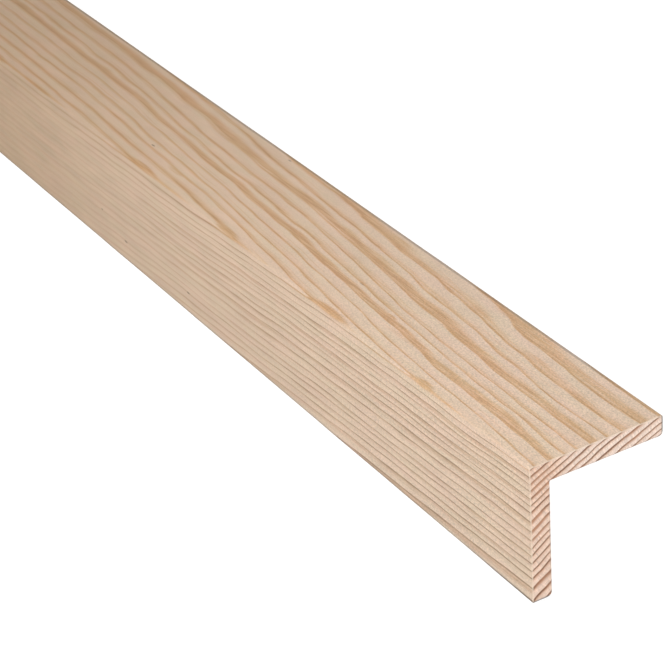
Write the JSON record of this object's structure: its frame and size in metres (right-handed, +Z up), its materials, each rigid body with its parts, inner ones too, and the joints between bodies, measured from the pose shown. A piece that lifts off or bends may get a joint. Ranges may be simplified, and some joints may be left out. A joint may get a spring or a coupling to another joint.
{
  "type": "corner guard moulding",
  "caption": "Long L-section moulding of planed softwood that covers the outside corner of a wall: two equal thin legs at a right angle, eased edges, square-cut ends.",
  "frame": {"origin": "on the floor, in the middle of the length and of the width that the two legs cover", "axes": "+Z up through the outer corner, +Y along the stock, +X towards the leg whose tip has the rounder outer edge"},
  "size_m": [0.0478, 2.4, 0.027],
  "materials": {
    "planed_pine": "planed bare pine, clear of knots"
  },
  "bodies": {
    "root": {"corner_guard": "planed_pine"}
  },
  "joints": []
}
